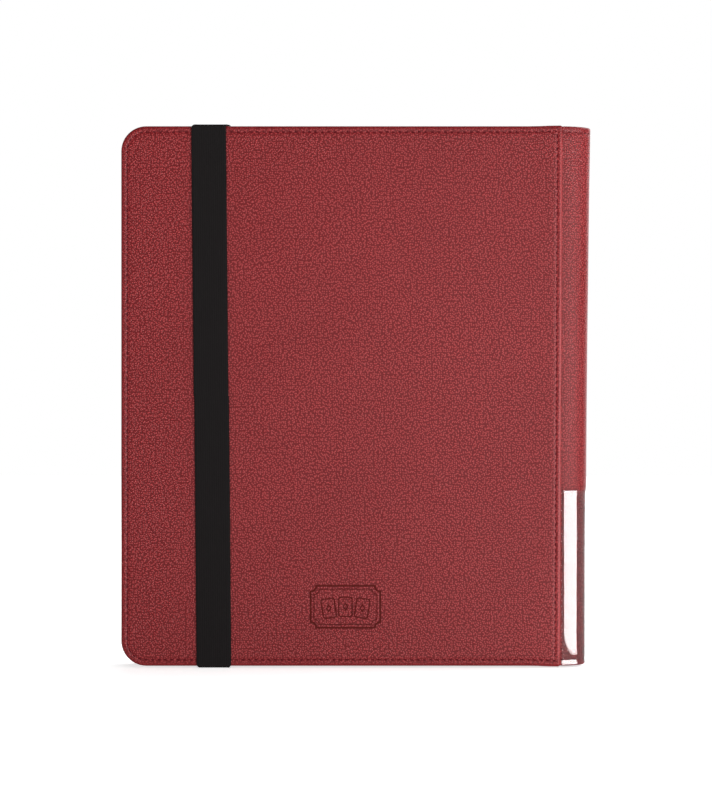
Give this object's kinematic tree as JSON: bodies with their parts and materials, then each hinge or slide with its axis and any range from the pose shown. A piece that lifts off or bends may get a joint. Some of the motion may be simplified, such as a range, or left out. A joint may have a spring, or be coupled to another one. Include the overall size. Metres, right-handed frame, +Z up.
{
  "type": "trading card binder",
  "caption": "Upright card binder with stitched red leatherette covers, a rounded spine with a clear label pocket, sewn-in pocket leaves and a black elastic closing strap.",
  "frame": {"origin": "middle of the footprint, at the lowest point of the strap, with the closed binder standing upright on its bottom edges", "axes": "+Z up along the height of the covers, +X towards the rounded spine, -Y out of the back cover, which carries the strap"},
  "size_m": [0.2678, 0.0334, 0.3122],
  "materials": {
    "red_leatherette": "satin",
    "board": "matte",
    "black_lining": "matte",
    "stiffener": "matte",
    "binding_cloth": "matte",
    "clear_film": "gloss",
    "pocket_film": "gloss",
    "leaf_sheet": "satin",
    "black_elastic": "matte"
  },
  "bodies": {
    "back_cover": {"back_board": "board", "back_leatherette": "red_leatherette", "back_lining": "black_lining", "strap_top_anchor": "black_elastic", "strap_bottom_anchor": "black_elastic"},
    "spine": {"spine_leatherette": "red_leatherette", "spine_stiffener": "stiffener", "spine_lining": "black_lining", "page_binding": "binding_cloth", "label_pocket": "clear_film"},
    "front_cover": {"front_board": "board", "front_leatherette": "red_leatherette", "front_lining": "black_lining"},
    "strap": {"strap_span": "black_elastic"},
    "leaf_01": {"leaf_01_sheet": "leaf_sheet", "leaf_01_pockets": "pocket_film"},
    "leaf_02": {"leaf_02_sheet": "leaf_sheet", "leaf_02_pockets": "pocket_film"},
    "leaf_03": {"leaf_03_sheet": "leaf_sheet", "leaf_03_pockets": "pocket_film"},
    "leaf_04": {"leaf_04_sheet": "leaf_sheet", "leaf_04_pockets": "pocket_film"},
    "leaf_05": {"leaf_05_sheet": "leaf_sheet", "leaf_05_pockets": "pocket_film"},
    "leaf_06": {"leaf_06_sheet": "leaf_sheet", "leaf_06_pockets": "pocket_film"},
    "leaf_07": {"leaf_07_sheet": "leaf_sheet", "leaf_07_pockets": "pocket_film"},
    "leaf_08": {"leaf_08_sheet": "leaf_sheet", "leaf_08_pockets": "pocket_film"},
    "leaf_09": {"leaf_09_sheet": "leaf_sheet", "leaf_09_pockets": "pocket_film"},
    "leaf_10": {"leaf_10_sheet": "leaf_sheet", "leaf_10_pockets": "pocket_film"},
    "leaf_11": {"leaf_11_sheet": "leaf_sheet", "leaf_11_pockets": "pocket_film"},
    "leaf_12": {"leaf_12_sheet": "leaf_sheet", "leaf_12_pockets": "pocket_film"},
    "leaf_13": {"leaf_13_sheet": "leaf_sheet", "leaf_13_pockets": "pocket_film"},
    "leaf_14": {"leaf_14_sheet": "leaf_sheet", "leaf_14_pockets": "pocket_film"},
    "leaf_15": {"leaf_15_sheet": "leaf_sheet", "leaf_15_pockets": "pocket_film"},
    "leaf_16": {"leaf_16_sheet": "leaf_sheet", "leaf_16_pockets": "pocket_film"},
    "leaf_17": {"leaf_17_sheet": "leaf_sheet", "leaf_17_pockets": "pocket_film"},
    "leaf_18": {"leaf_18_sheet": "leaf_sheet", "leaf_18_pockets": "pocket_film"},
    "leaf_19": {"leaf_19_sheet": "leaf_sheet", "leaf_19_pockets": "pocket_film"},
    "leaf_20": {"leaf_20_sheet": "leaf_sheet", "leaf_20_pockets": "pocket_film"}
  },
  "joints": [
    {"name": "front_cover_hinge", "type": "hinge", "parent": "spine", "child": "front_cover", "pos_m": [0.11805, 0.0159, 0.1561], "axis": [0, 0, -1], "range_deg": [0, 90]},
    {"name": "spine_hinge", "type": "hinge", "parent": "back_cover", "child": "spine", "pos_m": [0.11805, -0.0145, 0.1561], "axis": [0, 0, -1], "range_deg": [0, 90]},
    {"name": "strap_pull", "type": "slide", "parent": "back_cover", "child": "strap", "axis": [0, -1, 0], "range_m": [0, 0.02], "stiffness_N_per_m": 200},
    {"name": "leaf_01_hinge", "type": "hinge", "parent": "spine", "child": "leaf_01", "pos_m": [0.11205, -0.01022, 0.1561], "axis": [0, 0, -1], "range_deg": [-86.9, 0]},
    {"name": "leaf_02_hinge", "type": "hinge", "parent": "spine", "child": "leaf_02", "pos_m": [0.11205, -0.00907, 0.1561], "axis": [0, 0, -1], "range_deg": [-77.81, 0]},
    {"name": "leaf_03_hinge", "type": "hinge", "parent": "spine", "child": "leaf_03", "pos_m": [0.11205, -0.00792, 0.1561], "axis": [0, 0, -1], "range_deg": [-68.71, 0]},
    {"name": "leaf_04_hinge", "type": "hinge", "parent": "spine", "child": "leaf_04", "pos_m": [0.11205, -0.00677, 0.1561], "axis": [0, 0, -1], "range_deg": [-59.62, 0]},
    {"name": "leaf_05_hinge", "type": "hinge", "parent": "spine", "child": "leaf_05", "pos_m": [0.11205, -0.00562, 0.1561], "axis": [0, 0, -1], "range_deg": [-50.52, 0]},
    {"name": "leaf_06_hinge", "type": "hinge", "parent": "spine", "child": "leaf_06", "pos_m": [0.11205, -0.00447, 0.1561], "axis": [0, 0, -1], "range_deg": [-41.43, 0]},
    {"name": "leaf_07_hinge", "type": "hinge", "parent": "spine", "child": "leaf_07", "pos_m": [0.11205, -0.00332, 0.1561], "axis": [0, 0, -1], "range_deg": [-32.33, 0]},
    {"name": "leaf_08_hinge", "type": "hinge", "parent": "spine", "child": "leaf_08", "pos_m": [0.11205, -0.00217, 0.1561], "axis": [0, 0, -1], "range_deg": [-23.24, 0]},
    {"name": "leaf_09_hinge", "type": "hinge", "parent": "spine", "child": "leaf_09", "pos_m": [0.11205, -0.00103, 0.1561], "axis": [0, 0, -1], "range_deg": [-14.14, 0]},
    {"name": "leaf_10_hinge", "type": "hinge", "parent": "spine", "child": "leaf_10", "pos_m": [0.11205, 0.00013, 0.1561], "axis": [0, 0, -1], "range_deg": [-5.05, 0]},
    {"name": "leaf_11_hinge", "type": "hinge", "parent": "spine", "child": "leaf_11", "pos_m": [0.11205, 0.00128, 0.1561], "axis": [0, 0, -1], "range_deg": [0, 5.05]},
    {"name": "leaf_12_hinge", "type": "hinge", "parent": "spine", "child": "leaf_12", "pos_m": [0.11205, 0.00243, 0.1561], "axis": [0, 0, -1], "range_deg": [0, 14.14]},
    {"name": "leaf_13_hinge", "type": "hinge", "parent": "spine", "child": "leaf_13", "pos_m": [0.11205, 0.00358, 0.1561], "axis": [0, 0, -1], "range_deg": [0, 23.24]},
    {"name": "leaf_14_hinge", "type": "hinge", "parent": "spine", "child": "leaf_14", "pos_m": [0.11205, 0.00473, 0.1561], "axis": [0, 0, -1], "range_deg": [0, 32.33]},
    {"name": "leaf_15_hinge", "type": "hinge", "parent": "spine", "child": "leaf_15", "pos_m": [0.11205, 0.00588, 0.1561], "axis": [0, 0, -1], "range_deg": [0, 41.43]},
    {"name": "leaf_16_hinge", "type": "hinge", "parent": "spine", "child": "leaf_16", "pos_m": [0.11205, 0.00702, 0.1561], "axis": [0, 0, -1], "range_deg": [0, 50.52]},
    {"name": "leaf_17_hinge", "type": "hinge", "parent": "spine", "child": "leaf_17", "pos_m": [0.11205, 0.00817, 0.1561], "axis": [0, 0, -1], "range_deg": [0, 59.62]},
    {"name": "leaf_18_hinge", "type": "hinge", "parent": "spine", "child": "leaf_18", "pos_m": [0.11205, 0.00932, 0.1561], "axis": [0, 0, -1], "range_deg": [0, 68.71]},
    {"name": "leaf_19_hinge", "type": "hinge", "parent": "spine", "child": "leaf_19", "pos_m": [0.11205, 0.01047, 0.1561], "axis": [0, 0, -1], "range_deg": [0, 77.81]},
    {"name": "leaf_20_hinge", "type": "hinge", "parent": "spine", "child": "leaf_20", "pos_m": [0.11205, 0.01162, 0.1561], "axis": [0, 0, -1], "range_deg": [0, 86.9]}
  ],
  "couplings": [
    {"joint": "spine_hinge", "follows": "front_cover_hinge", "ratio": 1},
    {"joint": "leaf_01_hinge", "follows": "front_cover_hinge", "ratio": -0.96},
    {"joint": "leaf_02_hinge", "follows": "front_cover_hinge", "ratio": -0.85895},
    {"joint": "leaf_03_hinge", "follows": "front_cover_hinge", "ratio": -0.75789},
    {"joint": "leaf_04_hinge", "follows": "front_cover_hinge", "ratio": -0.65684},
    {"joint": "leaf_05_hinge", "follows": "front_cover_hinge", "ratio": -0.55579},
    {"joint": "leaf_06_hinge", "follows": "front_cover_hinge", "ratio": -0.45474},
    {"joint": "leaf_07_hinge", "follows": "front_cover_hinge", "ratio": -0.35368},
    {"joint": "leaf_08_hinge", "follows": "front_cover_hinge", "ratio": -0.25263},
    {"joint": "leaf_09_hinge", "follows": "front_cover_hinge", "ratio": -0.15158},
    {"joint": "leaf_10_hinge", "follows": "front_cover_hinge", "ratio": -0.050526},
    {"joint": "leaf_11_hinge", "follows": "front_cover_hinge", "ratio": 0.050526},
    {"joint": "leaf_12_hinge", "follows": "front_cover_hinge", "ratio": 0.15158},
    {"joint": "leaf_13_hinge", "follows": "front_cover_hinge", "ratio": 0.25263},
    {"joint": "leaf_14_hinge", "follows": "front_cover_hinge", "ratio": 0.35368},
    {"joint": "leaf_15_hinge", "follows": "front_cover_hinge", "ratio": 0.45474},
    {"joint": "leaf_16_hinge", "follows": "front_cover_hinge", "ratio": 0.55579},
    {"joint": "leaf_17_hinge", "follows": "front_cover_hinge", "ratio": 0.65684},
    {"joint": "leaf_18_hinge", "follows": "front_cover_hinge", "ratio": 0.75789},
    {"joint": "leaf_19_hinge", "follows": "front_cover_hinge", "ratio": 0.85895},
    {"joint": "leaf_20_hinge", "follows": "front_cover_hinge", "ratio": 0.96}
  ]
}
